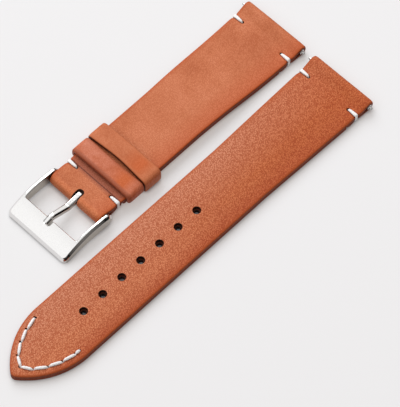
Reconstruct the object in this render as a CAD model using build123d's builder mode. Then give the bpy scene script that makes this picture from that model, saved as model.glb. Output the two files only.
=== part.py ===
from build123d import *
import os
from math import asin, cos, pi, sin, sqrt

os.makedirs("parts", exist_ok=True)

# Two-piece leather watch strap with a pin buckle, two keepers and spring bars, in millimetres.
# +X runs along the strap to the ends that meet the watch, +Y goes from the long piece to the
# short piece and +Z is up. The origin is the middle of the footprint on the table.

# Leather pieces
lug_width = 20.0
tail_width = 18.0
fold_width = 17.3
taper_length = 38.0
fold_taper_length = 8.0
long_length = 116.4
short_length = 73.0
piece_gap = 3.35
outer_leather = 1.2
lining_leather = 1.1
lug_flap = 9.5
buckle_flap = 8.5
lug_skived_leather = 0.77
fold_skived_leather = 1.15
lug_rise_length = 3.4
fold_rise_length = 3.8
glue_line_length = 3.4
corner_round = 0.5

# Rise of the short piece from the table onto the strand of its sliding keeper
rise_start = 11.0
rise_length = 23.0

# Tip of the long piece, and its holes for the buckle tongue
ogive_radius = 20.8
tip_round = 1.5
tongue_hole_radius = 1.05
tongue_hole_pitch = 6.5
tongue_hole_count = 7
first_hole_from_tip = 24.0

# Sewing thread
thread_radius = 0.36
thread_sides = 6
thread_sink = 0.17
bed_clearance = 0.02
thread_stagger = 0.1
tip_stitch_inset = 1.9
tip_stitch_end = 2.8
tip_stitch_pitch = 3.7
tip_stitches_per_side = 4
tack_fan = 0.5
lug_to_tack_length = 6.1
fold_to_tack_length = 7.0
tack_reach = 3.0

# Spring bars
tube_radius = 0.75
tube_wall = 0.11
tube_play = 0.08
crimp_length = 0.5
tip_radius = 0.35
tip_length = 0.9
tip_chamfer = 0.12
flange_thickness = 0.3
stem_radius = 0.51
pin_play = 0.04
pin_travel = 1.2
pin_stop_gap = 0.2
shank_length = 3.3
spring_wire_radius = 0.1
spring_wall_gap = 0.06
spring_turns = 6
spring_sides = 8
spring_wire_sides = 5
spring_end_gap = 0.02

# Buckle frame and tongue
frame_width = 20.3
rail_width = 1.25
frame_depth = 15.1
plate_depth = 5.4
plate_thickness = 1.9
rail_end_radius = 1.85
crown_radius = 22.0
crown_ahead_of_bar = 4.0
arch_rise = 0.8
table_gap = 0.05
front_corner_round = 1.3
window_corner_round = 0.4
front_lip = 1.2
frame_edge_bevel = 0.6
window_edge_bevel = 0.15
pin_socket_wall = 0.3
rail_play = 0.1
slot_width = 2.4
slot_behind_bar = 2.15
tongue_width = 1.8
tongue_tip_width = 1.45
tongue_thickness = 1.45
tongue_eye_wall = 0.8
tongue_play = 0.06
tongue_dip_ahead = 4.2
tongue_dip_height = 0.5
tongue_crest_gap = 0.12
tongue_crest_back = 0.4
tongue_tip_drop = 0.7
tongue_overlap = 1.7
tongue_bend = 1.6
tongue_edge_bevel = 0.4
notch_play = 0.12

# Keepers
keeper_width = 5.3
keeper_leather = 1.1
keeper_side_play = 0.15
keeper_under_play = 0.05
keeper_over_play = 0.15
keeper_crown = 0.3
keeper_shoulder_round = 1.5
keeper_lower_round = 1.2
keeper_spacing = 0.7
fixed_keeper_from_fold = 9.3
tab_leather = 0.6
tab_round = 0.3
tab_length = 4.0
tab_play = 0.05

# A cut runs this far past what it cuts
overrun = 2.0

# Places that follow from the sizes above
strap_thickness = outer_leather + lining_leather
lug_bore = tube_radius + tube_play
lug_nose = lug_bore + lug_skived_leather
axis_spacing = lug_width + piece_gap
fold_bore = tube_radius + tube_play
fold_nose = fold_bore + fold_skived_leather
strap_lift = table_gap + keeper_leather + keeper_under_play
strap_top = strap_lift + strap_thickness
nose_x = long_length / 2
long_y = -axis_spacing / 2
short_y = axis_spacing / 2
lug_bar = Vector(nose_x - lug_nose, lug_nose)
fold_x = nose_x - short_length
buckle_bar = Vector(fold_x + fold_nose, table_gap + fold_nose)
tip_x = nose_x - long_length
long_side = Plane.XZ.offset(-long_y)
short_side = Plane.XZ.offset(-short_y)
part_height = buckle_bar.Y + crown_radius


def wave(start, end):
    """Two equal arcs from start to end, level at both ends."""
    middle = (start + end) / 2
    level = Vector(end.X - start.X, 0).normalized()
    first = TangentArc(start, middle, tangent=level)
    TangentArc(middle, end, tangent=first % 1)


def teardrop(bar, bore, glue_point):
    """The space round a spring bar, closed where the leather meets itself."""
    away = glue_point - bar
    swing = asin(bore / away.length) * 180 / pi
    reach = sqrt(away.length**2 - bore**2)
    upper = glue_point - away.normalized().rotate(Axis.Z, swing) * reach
    lower = glue_point - away.normalized().rotate(Axis.Z, -swing) * reach
    with BuildLine() as wedge:
        Polyline(upper, glue_point, lower, bar, close=True)
    make_face(wedge.edges(), mode=Mode.SUBTRACT)
    with Locations(bar):
        Circle(bore, mode=Mode.SUBTRACT)


# Plan outline of the long piece: a taper, parallel sides and a pointed arch at the tip
ogive_run = sqrt(ogive_radius**2 - (ogive_radius - tail_width / 2) ** 2)
apex_slope_share = ogive_run / ogive_radius
apex_x = tip_x - tip_round * (1 / apex_slope_share - 1)
ogive_x = apex_x + ogive_run
taper_x = nose_x - taper_length
with BuildSketch() as long_plan:
    with BuildLine():
        for side in (1, -1):
            lug_corner = Vector(nose_x, long_y + side * lug_width / 2)
            taper_end = Vector(taper_x, long_y + side * tail_width / 2)
            arch_start = Vector(ogive_x, long_y + side * tail_width / 2)
            Polyline((nose_x, long_y), lug_corner, taper_end, arch_start)
            TangentArc(arch_start, (apex_x, long_y), tangent=(-1, 0))
    make_face()
    fillet(vertices().group_by(Axis.X)[0], tip_round)
    fillet(vertices().group_by(Axis.X)[-1].sort_by(Axis.Y)[0], corner_round)
    fillet(vertices().group_by(Axis.X)[-1].sort_by(Axis.Y)[-1], corner_round)

# Plan outline of the short piece, drawn in a little at the fold so that the buckle clears it
with BuildSketch() as short_plan:
    with BuildLine():
        for side in (1, -1):
            Polyline(
                (nose_x, short_y),
                (nose_x, short_y + side * lug_width / 2),
                (taper_x, short_y + side * tail_width / 2),
                (fold_x + fold_taper_length, short_y + side * tail_width / 2),
                (fold_x, short_y + side * fold_width / 2),
                (fold_x, short_y),
            )
    make_face()
    fillet(vertices().group_by(Axis.X)[-1].sort_by(Axis.Y)[0], corner_round)
    fillet(vertices().group_by(Axis.X)[-1].sort_by(Axis.Y)[-1], corner_round)
    fillet(vertices().group_by(Axis.X)[0].sort_by(Axis.Y)[0], corner_round)
    fillet(vertices().group_by(Axis.X)[0].sort_by(Axis.Y)[-1], corner_round)

# Sewing thread: each stitch is a closed loop of thread through the leather
top_thread = thread_radius - thread_sink
bed_radius = thread_radius + bed_clearance


def stitch(start, end, top, low, radius, mode=Mode.ADD):
    """One loop of thread between two points of the plan, over the leather and back under it."""
    middle = (start + end) / 2
    with BuildLine() as loop:
        Polyline(
            (middle.X, middle.Y, top),
            (end.X, end.Y, top),
            (end.X, end.Y, low),
            (start.X, start.Y, low),
            (start.X, start.Y, top),
            (middle.X, middle.Y, top),
        )
    path = loop.wire()
    with BuildSketch(Plane(origin=path @ 0, z_dir=path % 0)) as section:
        RegularPolygon(radius, thread_sides, major_radius=False)
    sweep(sections=section.sketch, path=path, transition=Transition.RIGHT, mode=mode)


def tip_stitches(radius, mode=Mode.ADD):
    """The pointed row of stitches at the tip, side by side in its holes."""
    row_radius = ogive_radius - tip_stitch_inset
    row_middle_y = ogive_radius - tail_width / 2
    half_row = pi / 2 - asin(row_middle_y / row_radius)
    for side in (1, -1):
        places = [Vector(tip_x + tip_stitch_end, long_y)]
        for step in range(1, tip_stitches_per_side + 1):
            turn = half_row - step * tip_stitch_pitch / row_radius
            across = row_radius * cos(turn) - row_middle_y
            places.append(Vector(ogive_x - row_radius * sin(turn), long_y + side * across))
        for start, end in zip(places, places[1:]):
            shift = (end - start).normalized() * thread_stagger
            stitch(
                start + shift,
                end - shift,
                strap_thickness + top_thread,
                thread_radius,
                radius,
                mode,
            )


def tacks(middle_y, hole_x, half_width, top, low, radius, mode=Mode.ADD):
    """A fan of two stitches over each edge of the strap, from one hole."""
    for side in (1, -1):
        for spread in (1, -1):
            hole_y = middle_y + side * (half_width - tack_reach)
            hole = Vector(hole_x + spread * thread_stagger, hole_y)
            edge = Vector(hole_x + spread * tack_fan, middle_y + side * (half_width + top_thread))
            stitch(hole, edge, top, low, radius, mode)


lug_tack_x = nose_x - lug_to_tack_length
lug_tack_half = lug_width / 2 - (lug_width - tail_width) / 2 * lug_to_tack_length / taper_length
fold_tack_x = fold_x + fold_to_tack_length
fold_taper_share = fold_to_tack_length / fold_taper_length
fold_tack_half = fold_width / 2 + (tail_width - fold_width) / 2 * fold_taper_share
lug_tack_levels = (strap_thickness + top_thread, thread_radius)
fold_tack_levels = (strap_top + top_thread, strap_lift - top_thread)

# Long piece: the outer leather turns round the spring bar and under, and the lining meets its flap
lug_crest = Vector(lug_bar.X, 2 * lug_nose)
lug_rise_foot = Vector(lug_bar.X - lug_rise_length, strap_thickness)
lug_glue_point = Vector(lug_bar.X - glue_line_length, lining_leather)
lug_flap_x = nose_x - lug_flap
beyond_tip_x = tip_x - overrun
tongue_hole_places = [
    (tip_x + first_hole_from_tip + step * tongue_hole_pitch, long_y)
    for step in range(tongue_hole_count)
]
with BuildPart() as long_outer_leather:
    with BuildSketch(long_side):
        with BuildLine():
            wave(lug_rise_foot, lug_crest)
            ThreePointArc(lug_crest, (nose_x, lug_nose), (lug_bar.X, 0))
            Polyline(
                (lug_bar.X, 0),
                (lug_flap_x, 0),
                (lug_flap_x, lining_leather),
                (beyond_tip_x, lining_leather),
                (beyond_tip_x, strap_thickness),
                lug_rise_foot,
            )
        make_face()
        teardrop(lug_bar, lug_bore, lug_glue_point)
    extrude(amount=lug_width, both=True)
    extrude(to_extrude=long_plan.sketch, amount=part_height, both=True, mode=Mode.INTERSECT)
    with Locations(*[(x, y, strap_thickness) for x, y in tongue_hole_places]):
        Hole(tongue_hole_radius)
    tip_stitches(bed_radius, Mode.SUBTRACT)
    tacks(long_y, lug_tack_x, lug_tack_half, *lug_tack_levels, bed_radius, Mode.SUBTRACT)

with BuildPart() as long_lining:
    extrude(to_extrude=long_plan.sketch, amount=lining_leather)
    split(bisect_by=Plane.YZ.offset(lug_flap_x), keep=Keep.BOTTOM)
    with Locations(*[(x, y, lining_leather) for x, y in tongue_hole_places]):
        Hole(tongue_hole_radius)
    tip_stitches(bed_radius, Mode.SUBTRACT)

# Short piece: the same at the watch end, a rise on to the keeper's strand, and the buckle fold
rise_low_x = nose_x - rise_start
rise_high_x = rise_low_x - rise_length
fold_flap_x = fold_x + buckle_flap
fold_crest = Vector(buckle_bar.X, table_gap + 2 * fold_nose)
fold_rise_x = buckle_bar.X + fold_rise_length
fold_glue_point = Vector(buckle_bar.X + glue_line_length, strap_lift + lining_leather)
slot_end_x = buckle_bar.X + slot_behind_bar
slot_length = slot_end_x - fold_x + overrun


def riser(height):
    """The rise of the short piece on to its keeper, at one level of the leather."""
    wave(Vector(rise_low_x, height), Vector(rise_high_x, strap_lift + height))


with BuildPart() as short_outer_leather:
    with BuildSketch(short_side):
        with BuildLine():
            wave(lug_crest, lug_rise_foot)
            Line(lug_rise_foot, (rise_low_x, strap_thickness))
            riser(strap_thickness)
            Line((rise_high_x, strap_top), (fold_rise_x, strap_top))
            wave(Vector(fold_rise_x, strap_top), fold_crest)
            ThreePointArc(fold_crest, (fold_x, buckle_bar.Y), (buckle_bar.X, table_gap))
            wave(Vector(buckle_bar.X, table_gap), Vector(fold_rise_x, strap_lift))
            Polyline(
                (fold_rise_x, strap_lift),
                (fold_flap_x, strap_lift),
                (fold_flap_x, strap_lift + lining_leather),
                (rise_high_x, strap_lift + lining_leather),
            )
            riser(lining_leather)
            Polyline(
                (rise_low_x, lining_leather),
                (lug_flap_x, lining_leather),
                (lug_flap_x, 0),
                (lug_bar.X, 0),
            )
            ThreePointArc((lug_bar.X, 0), (nose_x, lug_nose), lug_crest)
        make_face()
        teardrop(lug_bar, lug_bore, lug_glue_point)
        teardrop(buckle_bar, fold_bore, fold_glue_point)
    extrude(amount=lug_width, both=True)
    extrude(to_extrude=short_plan.sketch, amount=part_height, both=True, mode=Mode.INTERSECT)
    with BuildSketch(Plane.XY):
        with Locations((slot_end_x, short_y)):
            SlotOverall(slot_length, slot_width, align=(Align.MAX, Align.CENTER))
    extrude(amount=part_height, mode=Mode.SUBTRACT)
    tacks(short_y, lug_tack_x, lug_tack_half, *lug_tack_levels, bed_radius, Mode.SUBTRACT)
    tacks(short_y, fold_tack_x, fold_tack_half, *fold_tack_levels, bed_radius, Mode.SUBTRACT)

# Keepers: a crowned band round the strap
fixed_keeper_x = fold_x + fixed_keeper_from_fold
sliding_keeper_x = fixed_keeper_x + keeper_width + keeper_spacing
keeper_inner_half = tail_width / 2 + keeper_side_play
keeper_half = keeper_inner_half + keeper_leather
keeper_shoulder = strap_top + keeper_over_play + keeper_leather
tab_top = strap_lift + lining_leather
tab_low = tab_top - tab_leather
tab_end = tail_width / 2 - tab_length


def keeper_band():
    """The band's section across the strap."""
    with BuildLine() as outline:
        Polyline(
            (short_y - keeper_half, keeper_shoulder),
            (short_y - keeper_half, table_gap),
            (short_y + keeper_half, table_gap),
            (short_y + keeper_half, keeper_shoulder),
        )
        ThreePointArc(
            (short_y + keeper_half, keeper_shoulder),
            (short_y, keeper_shoulder + keeper_crown),
            (short_y - keeper_half, keeper_shoulder),
        )
    make_face(outline.edges())
    upper = vertices().group_by(Axis.Y)[-1]
    lower = vertices().group_by(Axis.Y)[0]
    fillet(upper, keeper_shoulder_round)
    fillet(lower, keeper_lower_round)
    offset(amount=-keeper_leather, mode=Mode.SUBTRACT)


with BuildPart() as floating_keeper:
    with BuildSketch(Plane.YZ.offset(sliding_keeper_x)):
        keeper_band()
    extrude(amount=keeper_width)

# The fixed keeper has no strand underneath: its thinned ends are glued in a pocket of the lining
with BuildPart() as fixed_keeper:
    with BuildSketch(Plane.YZ.offset(fixed_keeper_x)):
        keeper_band()
        with Locations((short_y, tab_low)):
            Rectangle(2 * keeper_half, tab_low, align=(Align.CENTER, Align.MAX), mode=Mode.SUBTRACT)
        for side in (1, -1):
            with Locations((short_y + side * (tab_end + keeper_half) / 2, tab_top)):
                Rectangle(keeper_half - tab_end, tab_leather, align=(Align.CENTER, Align.MAX))
    extrude(amount=keeper_width)
    wall_edges = edges().filter_by(Axis.X).group_by(Axis.Y)
    fillet([wall_edges[0].sort_by(Axis.Z)[0], wall_edges[-1].sort_by(Axis.Z)[0]], tab_round)

with BuildPart() as short_lining:
    with BuildSketch(short_side):
        with BuildLine():
            Line((lug_flap_x, 0), (rise_low_x, 0))
            riser(0)
            Polyline(
                (rise_high_x, strap_lift),
                (fold_flap_x, strap_lift),
                (fold_flap_x, strap_lift + lining_leather),
                (rise_high_x, strap_lift + lining_leather),
            )
            riser(lining_leather)
            Polyline((rise_low_x, lining_leather), (lug_flap_x, lining_leather), (lug_flap_x, 0))
        make_face()
    extrude(amount=lug_width, both=True)
    extrude(to_extrude=short_plan.sketch, amount=part_height, both=True, mode=Mode.INTERSECT)
    with BuildSketch(Plane.XY.offset(tab_low - tab_play)):
        for side in (1, -1):
            with Locations((fixed_keeper_x + keeper_width / 2, short_y + side * (tab_end - tab_play))):
                Rectangle(
                    keeper_width + 2 * tab_play,
                    tail_width / 2,
                    align=(Align.CENTER, Align.MIN if side > 0 else Align.MAX),
                )
    extrude(amount=part_height, mode=Mode.SUBTRACT)

with BuildPart() as long_tip_stitch:
    tip_stitches(thread_radius)

with BuildPart() as long_lug_stitches:
    tacks(long_y, lug_tack_x, lug_tack_half, *lug_tack_levels, thread_radius)

with BuildPart() as short_lug_stitches:
    tacks(short_y, lug_tack_x, lug_tack_half, *lug_tack_levels, thread_radius)

with BuildPart() as short_buckle_stitches:
    tacks(short_y, fold_tack_x, fold_tack_half, *fold_tack_levels, thread_radius)


# Buckle frame: an arched side profile, a wide front plate hollowed underneath, and two rails
front_x = buckle_bar.X - frame_depth
plate_edge_x = front_x + plate_depth
rail_end_x = buckle_bar.X + rail_end_radius
window_half = frame_width / 2 - rail_width
crown_x = buckle_bar.X - crown_ahead_of_bar
crown_z = buckle_bar.Y - sqrt((crown_radius - rail_end_radius) ** 2 - crown_ahead_of_bar**2)
crown = Vector(crown_x, crown_z)
end_top = crown + (buckle_bar - crown).normalized() * crown_radius
end_low = buckle_bar - Vector(0, rail_end_radius)
front_foot = Vector(front_x + front_lip, 0)
arch_middle = Vector((end_low.X + front_foot.X) / 2, arch_rise)


def crown_height(x, radius):
    """Height of an arc round the crown's centre."""
    return crown_z + sqrt(radius**2 - (x - crown_x) ** 2)


front_top = Vector(front_x, crown_height(front_x, crown_radius))
plate_edge_top = crown_height(plate_edge_x, crown_radius)
tongue_crest_z = plate_edge_top + tongue_crest_gap + tongue_thickness / 2
tongue_tip_z = tongue_crest_z - tongue_tip_drop
tongue_tip_x = plate_edge_x - tongue_overlap
tongue_eye_radius = tube_radius + tongue_play + tongue_eye_wall
notch_floor = tongue_tip_z - tongue_thickness / 2 - notch_play
notch_width = tongue_tip_width + 2 * notch_play
socket_radius = tip_radius + pin_play
socket_depth = rail_width - pin_socket_wall

window_span_x = (plate_edge_x - window_edge_bevel, rail_end_x)
window_span_y = (short_y - window_half - window_edge_bevel, short_y + window_half + window_edge_bevel)

with BuildPart() as buckle_frame:
    with BuildSketch(short_side):
        with BuildLine():
            ThreePointArc(end_low, (rail_end_x, buckle_bar.Y), end_top)
            ThreePointArc(end_top, (crown_x, crown_z + crown_radius), front_top)
            Polyline(front_top, (front_x, 0), front_foot)
            ThreePointArc(front_foot, arch_middle, end_low)
        make_face()
    extrude(amount=frame_width / 2, both=True)
    with BuildSketch(Plane.XY):
        with Locations((front_x, short_y)):
            RectangleRounded(
                2 * frame_depth + overrun,
                frame_width,
                front_corner_round,
                align=(Align.MIN, Align.CENTER),
            )
    extrude(amount=part_height, mode=Mode.INTERSECT)
    crown_face = faces().filter_by(GeomType.CYLINDER).sort_by(Axis.Z)[-1]
    chamfer(crown_face.edges().sort_by(Axis.X)[:-1], frame_edge_bevel)
    with BuildSketch(Plane.XY):
        with Locations((plate_edge_x, short_y)):
            RectangleRounded(
                2 * frame_depth,
                2 * window_half,
                window_corner_round,
                align=(Align.MIN, Align.CENTER),
            )
    extrude(amount=part_height, mode=Mode.SUBTRACT)
    crown_face = faces().filter_by(GeomType.CYLINDER).sort_by(Axis.Z)[-1]
    window_edges = crown_face.edges().filter_by_position(Axis.X, *window_span_x)
    chamfer(window_edges.filter_by_position(Axis.Y, *window_span_y), window_edge_bevel)
    with BuildSketch(short_side):
        with Locations(crown):
            Circle(crown_radius - plate_thickness)
    extrude(amount=window_half, both=True, mode=Mode.SUBTRACT)
    with BuildSketch(Plane.XY.offset(notch_floor)):
        with Locations((plate_edge_x, short_y)):
            Rectangle(2 * (tongue_overlap + notch_play), notch_width)
    extrude(amount=part_height, mode=Mode.SUBTRACT)
    for side in (1, -1):
        inner_face = Plane(
            origin=(buckle_bar.X, short_y + side * window_half, buckle_bar.Y),
            z_dir=(0, side, 0),
        )
        with BuildSketch(inner_face):
            Circle(socket_radius)
        extrude(amount=socket_depth, mode=Mode.SUBTRACT)

# Buckle tongue: a bar formed to dip over the window and rest in the notch, with an eye on the bar
tongue_line_z = buckle_bar.Y + tongue_eye_radius - tongue_thickness / 2
tongue_dip = (buckle_bar.X - tongue_dip_ahead, buckle_bar.Y + tongue_dip_height)
tongue_crest = (plate_edge_x + tongue_crest_back, tongue_crest_z)
with BuildPart() as buckle_tongue:
    with BuildSketch(short_side):
        with BuildLine():
            FilletPolyline(
                (buckle_bar.X, tongue_line_z),
                tongue_dip,
                tongue_crest,
                (tongue_tip_x, tongue_tip_z),
                radius=tongue_bend,
            )
        trace(line_width=tongue_thickness)
        with Locations(buckle_bar):
            Circle(tongue_eye_radius)
            Circle(tube_radius + tongue_play, mode=Mode.SUBTRACT)
    extrude(amount=tongue_width / 2, both=True)
    with BuildSketch(Plane.XY):
        with BuildLine():
            for side in (1, -1):
                Polyline(
                    (buckle_bar.X + tongue_eye_radius, short_y),
                    (buckle_bar.X + tongue_eye_radius, short_y + side * tongue_width / 2),
                    (tongue_dip[0], short_y + side * tongue_width / 2),
                    (tongue_tip_x - tongue_thickness, short_y + side * tongue_tip_width / 2),
                    (tongue_tip_x - tongue_thickness, short_y),
                )
        make_face()
    extrude(amount=part_height, mode=Mode.INTERSECT)
    upper_faces = faces().filter_by(lambda face: face.normal_at().Z > abs(face.normal_at().Y))
    upper_edges = upper_faces.edges().filter_by(Axis.Y, reverse=True)
    free_edges = upper_edges.filter_by_position(Axis.X, tongue_tip_x - tongue_thickness, tongue_dip[0])
    chamfer(free_edges, tongue_edge_bevel)

# Spring bars: a crimped tube, two flanged pins and the spring that holds them apart
tube_bore = tube_radius - tube_wall
crimp_radius = stem_radius + pin_play
shank_radius = tube_bore - pin_play
coil_radius = tube_bore - spring_wall_gap - spring_wire_radius


def spun(bar, middle_y, profile, direction=1):
    """A round piece turned about a spring bar, from its stations and radii."""
    with BuildSketch(Plane.YZ.offset(bar.X)) as section:
        with BuildLine() as outline:
            Polyline(
                *[(middle_y + direction * along, bar.Y + radius) for along, radius in profile],
                close=True,
            )
        make_face()
    revolve(section.sketch, axis=Axis((bar.X, middle_y, bar.Y), (0, 1, 0)))


bars = {
    "long_bar": (lug_bar, long_y, lug_width / 2),
    "short_bar": (lug_bar, short_y, lug_width / 2),
    "buckle_bar": (buckle_bar, short_y, window_half - rail_play),
}
bar_pieces = {}
for bar_name, (bar, middle_y, shoulder) in bars.items():
    tube_half = shoulder - flange_thickness - pin_travel - pin_stop_gap
    crimp_face = tube_half - crimp_length
    shank_outer = crimp_face - pin_play
    shank_inner = shank_outer - shank_length
    with BuildPart() as tube:
        spun(
            bar,
            middle_y,
            [
                (-tube_half, crimp_radius),
                (-tube_half, tube_radius),
                (tube_half, tube_radius),
                (tube_half, crimp_radius),
                (crimp_face, crimp_radius),
                (crimp_face, tube_bore),
                (-crimp_face, tube_bore),
                (-crimp_face, crimp_radius),
            ],
        )
    bar_pieces[f"{bar_name}_tube"] = tube.part

    for end_name, direction in (("left", 1), ("right", -1)):
        with BuildPart() as pin:
            spun(
                bar,
                middle_y,
                [
                    (shank_inner, 0),
                    (shank_inner, shank_radius),
                    (shank_outer, shank_radius),
                    (shank_outer, stem_radius),
                    (shoulder - flange_thickness, stem_radius),
                    (shoulder - flange_thickness, tube_radius),
                    (shoulder, tube_radius),
                    (shoulder, tip_radius),
                    (shoulder + tip_length - tip_chamfer, tip_radius),
                    (shoulder + tip_length, tip_radius - tip_chamfer),
                    (shoulder + tip_length, 0),
                ],
                direction,
            )
        bar_pieces[f"{bar_name}_pin_{end_name}"] = pin.part

    coil_half = shank_inner - spring_end_gap - spring_wire_radius
    coil_steps = spring_turns * spring_sides
    coil_points = [
        Vector(
            bar.X + coil_radius * cos(2 * pi * step / spring_sides),
            middle_y - coil_half + 2 * coil_half * step / coil_steps,
            bar.Y + coil_radius * sin(2 * pi * step / spring_sides),
        )
        for step in range(coil_steps + 1)
    ]
    with BuildPart() as spring:
        with BuildLine() as coil:
            Polyline(*coil_points)
        with BuildSketch(Plane(origin=coil.wire() @ 0, z_dir=coil.wire() % 0)):
            RegularPolygon(spring_wire_radius, spring_wire_sides)
        sweep(path=coil.wire(), transition=Transition.RIGHT)
    bar_pieces[f"{bar_name}_spring"] = spring.part

pieces = {
    "long_outer_leather": long_outer_leather.part,
    "long_lining": long_lining.part,
    "long_tip_stitch": long_tip_stitch.part,
    "long_lug_stitches": long_lug_stitches.part,
    "short_outer_leather": short_outer_leather.part,
    "short_lining": short_lining.part,
    "short_lug_stitches": short_lug_stitches.part,
    "short_buckle_stitches": short_buckle_stitches.part,
    "fixed_keeper": fixed_keeper.part,
    "floating_keeper": floating_keeper.part,
    "buckle_frame": buckle_frame.part,
    "buckle_tongue": buckle_tongue.part,
    **bar_pieces,
}
for name, piece in pieces.items():
    piece.label = name
    export_step(piece, f"parts/{name}.step")
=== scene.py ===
from math import asin, ceil, cos, pi, radians, sin, sqrt

import bmesh
import bpy
import numpy as np
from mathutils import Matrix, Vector
from mathutils.geometry import delaunay_2d_cdt


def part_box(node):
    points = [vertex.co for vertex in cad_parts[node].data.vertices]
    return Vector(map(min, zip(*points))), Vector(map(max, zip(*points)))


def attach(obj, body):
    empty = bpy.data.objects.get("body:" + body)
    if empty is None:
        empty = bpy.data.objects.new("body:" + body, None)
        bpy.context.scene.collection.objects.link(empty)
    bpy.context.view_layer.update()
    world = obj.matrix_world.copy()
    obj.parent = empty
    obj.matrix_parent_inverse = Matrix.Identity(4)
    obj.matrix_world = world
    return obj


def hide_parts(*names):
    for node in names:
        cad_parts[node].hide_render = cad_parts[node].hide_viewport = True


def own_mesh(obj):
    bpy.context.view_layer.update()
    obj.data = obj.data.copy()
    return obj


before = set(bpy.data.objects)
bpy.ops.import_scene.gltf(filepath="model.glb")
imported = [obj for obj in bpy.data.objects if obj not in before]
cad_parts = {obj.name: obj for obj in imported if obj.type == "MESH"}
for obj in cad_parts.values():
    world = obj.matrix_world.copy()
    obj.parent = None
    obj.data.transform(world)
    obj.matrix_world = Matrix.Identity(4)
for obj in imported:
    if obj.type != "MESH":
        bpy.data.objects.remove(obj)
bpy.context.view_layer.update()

# Lengths are in millimetres and are turned to metres where a mesh is made
METRE = 0.001


def corners_mm(node):
    """Lowest and highest corner of a construction node, in millimetres."""
    low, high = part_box(node)
    return np.array(low) / METRE, np.array(high) / METRE


# Sizes of the leather, as in the construction, except that the lining's holes and the slot are narrower
lug_width = 20.0
tail_width = 18.0
fold_width = 17.3
taper_length = 38.0
fold_taper_length = 8.0
outer_leather = 1.2
lining_leather = 1.1
glued_leather = lining_leather - 0.02
strap_thickness = outer_leather + lining_leather
lug_nose = 1.6
lug_skived_leather = 0.77
lug_skive_length = 3.0
lug_flap = 9.5
flap_round = 0.8
flap_corner = 0.9
lining_round = 0.5
lining_corner = 0.6
lug_rise_length = 3.4
fold_nose = 1.98
fold_skived_leather = 1.15
buckle_flap = 8.5
fold_rise_length = 3.8
table_gap = 0.05
strap_lift = 1.2
strap_top = strap_lift + strap_thickness
rise_start = 11.0
rise_length = 23.0
ogive_radius = 20.8
tip_round = 1.5
hole_radius = 1.05
lining_hole_radius = 0.64
hole_pitch = 6.5
hole_count = 7
first_hole_from_tip = 24.0
slot_width = 1.96
slot_behind_bar = 1.45
keeper_width = 5.3
keeper_leather = 1.1
keeper_crown = 0.3
keeper_shoulder_round = 1.5
keeper_lower_round = 1.2
keeper_seam = 0.06
tab_leather = 0.6
tab_length = 4.0
tab_corner = 0.6
tab_slope = 1.6

# Places read from the construction
long_low, long_high = corners_mm("long_outer_leather")
short_low, short_high = corners_mm("short_outer_leather")
fixed_low, _ = corners_mm("fixed_keeper")
floating_low, floating_high = corners_mm("floating_keeper")
long_y = (long_low[1] + long_high[1]) / 2
short_y = (short_low[1] + short_high[1]) / 2
tip_x = long_low[0]
nose_x = long_high[0]
fold_x = short_low[0]
lug_bar = np.array([nose_x - lug_nose, lug_nose])
buckle_bar = np.array([fold_x + fold_nose, table_gap + fold_nose])
taper_x = nose_x - taper_length
lug_flap_x = nose_x - lug_flap
fold_flap_x = fold_x + buckle_flap
lug_rise_x = lug_bar[0] - lug_rise_length
fold_rise_x = buckle_bar[0] + fold_rise_length
rise_low_x = nose_x - rise_start
rise_high_x = rise_low_x - rise_length
slot_end_x = buckle_bar[0] + slot_behind_bar

# Stitching
thread_radius = 0.41
tack_thread_radius = 0.29
thread_lobes = 3
thread_lay = 2.1
slit_length = 0.86
slit_width = 0.34
slit_slant = radians(68)
slit_shift = 0.16
tip_stitch_inset = 1.9
tip_stitch_end = 2.8
tip_stitch_pitch = 3.7
tip_stitches_per_side = 4
tip_last_stitch = (1.3, 0.1)
tack_fan = 0.2
tack_reach = 3.0
tack_draw = 0.3
tack_draw_length = 0.95
awl_radius = 0.4
fine_awl_radius = 0.3
awl_points = 12
hole_points = 28
cut_rim = 0.07
hole_rim = 0.14
lining_hole_rim = 0.1
grain_groove = 0.16
under_groove = 0.55
lining_groove = 0.5
lug_tack_x = nose_x - 6.1
fold_tack_x = fold_x + 7.0

# Camera, fitted to both pieces of the strap on the table
camera_azimuth = radians(-45.54)
camera_elevation = radians(60.83)
camera_distance = 742.3
camera_target = (7.65, -10.04)
focal_pixels = 3002.4
photo_longer_side = 407


# Curves in a plane, as arrays of points
def line(start, end, step=0.25):
    """A straight run from start to end."""
    count = max(2, ceil(np.linalg.norm(np.subtract(end, start)) / step) + 1)
    return np.linspace(start, end, count)


def on_circle(centre, radius, angles):
    """Points on a circle at the given angles."""
    return centre + radius * np.stack([np.cos(angles), np.sin(angles)], axis=1)


def arc(centre, radius, start_angle, end_angle, step=0.12):
    """A circular run, with its angles in degrees."""
    count = max(3, ceil(abs(radians(end_angle - start_angle)) * radius / step) + 1)
    return on_circle(centre, radius, np.radians(np.linspace(start_angle, end_angle, count)))


def wave(start, end, step=0.25):
    """A run that is level at both ends."""
    count = max(8, ceil(abs(end[0] - start[0]) / step) + 1)
    share = np.linspace(0, 1, count)
    x = start[0] + (end[0] - start[0]) * share
    z = start[1] + (end[1] - start[1]) * (1 - np.cos(pi * share)) / 2
    return np.stack([x, z], axis=1)


def joined(*runs):
    """Runs put end to end, without the repeated points."""
    points = np.concatenate(runs)
    apart = np.linalg.norm(np.diff(points, axis=0), axis=1) > 1e-6
    return points[np.concatenate([[True], apart])]


def unit(rows):
    """Rows brought to a length of one."""
    return rows / np.linalg.norm(rows, axis=1)[:, None]


def sampled(s, places, values):
    """Both columns of values at the distances s."""
    return np.stack([np.interp(s, places, column) for column in values.T], axis=1)


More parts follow.
